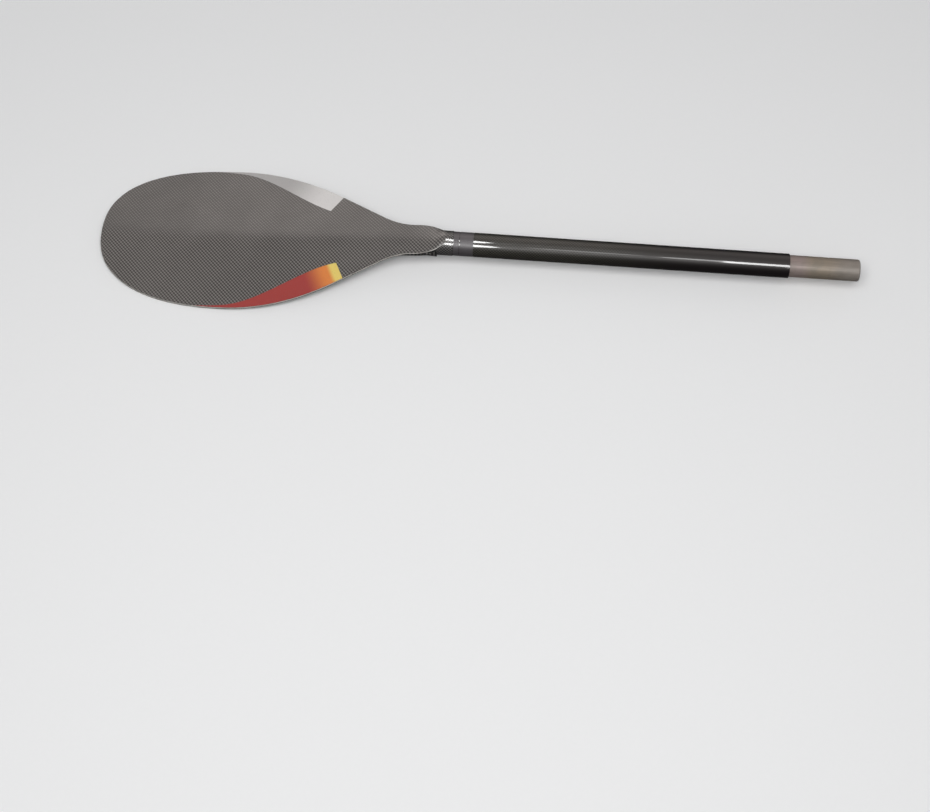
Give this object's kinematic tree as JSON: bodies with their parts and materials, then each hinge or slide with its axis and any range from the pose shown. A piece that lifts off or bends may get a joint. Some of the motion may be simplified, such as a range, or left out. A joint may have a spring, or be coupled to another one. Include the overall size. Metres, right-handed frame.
{
  "type": "take-apart oar blade section",
  "caption": "Carbon blade section of a take-apart oar: ridged blade with a tongue on a straight round shaft, ending in a spigot with a sprung lock button.",
  "frame": {"origin": "centre of the shaft's end face, the shoulder where the next section butts, on the shaft's axis", "axes": "+X along the shaft towards the spigot's free end, -X towards the blade; +Z out of the blade's power face; +Y across the blade"},
  "size_m": [0.942, 0.196, 0.0475],
  "materials": {
    "blade_carbon": "satin clear-coated plain-weave carbon, silvery lattice",
    "shaft_carbon": "glossy clear-coated fine-weave carbon, near black",
    "socket_carbon": "satin dark carbon",
    "rim": "sanded light beige edge strip",
    "band": "matte mauve-grey sleeve",
    "spigot": "satin ground taupe composite with lengthwise streaks",
    "foam": "rigid closed-cell foam",
    "plug": "moulded black plastic",
    "steel": "brushed stainless steel"
  },
  "bodies": {
    "oar": {"front_skin": "blade_carbon", "back_skin": "blade_carbon", "edge_rim": "rim", "core_near": "foam", "core_far": "foam", "centre_spar": "socket_carbon", "neck_socket": "socket_carbon", "neck_plug": "foam", "shaft_tube": "shaft_carbon", "neck_ring": "band", "neck_band": "band", "float_plug": "foam", "spigot_sleeve": "spigot", "bulkhead": "foam", "end_plug": "plug", "button_spring": "steel"},
    "button": {"lock_button": "steel", "button_rivet": "steel"}
  },
  "joints": [
    {"name": "button_press", "type": "slide", "parent": "oar", "child": "button", "axis": [0, 0, 1], "range_m": [0, 0.0035], "stiffness_N_per_m": 1000, "springref_m": -0.001, "deforming": ["button_spring"]}
  ]
}
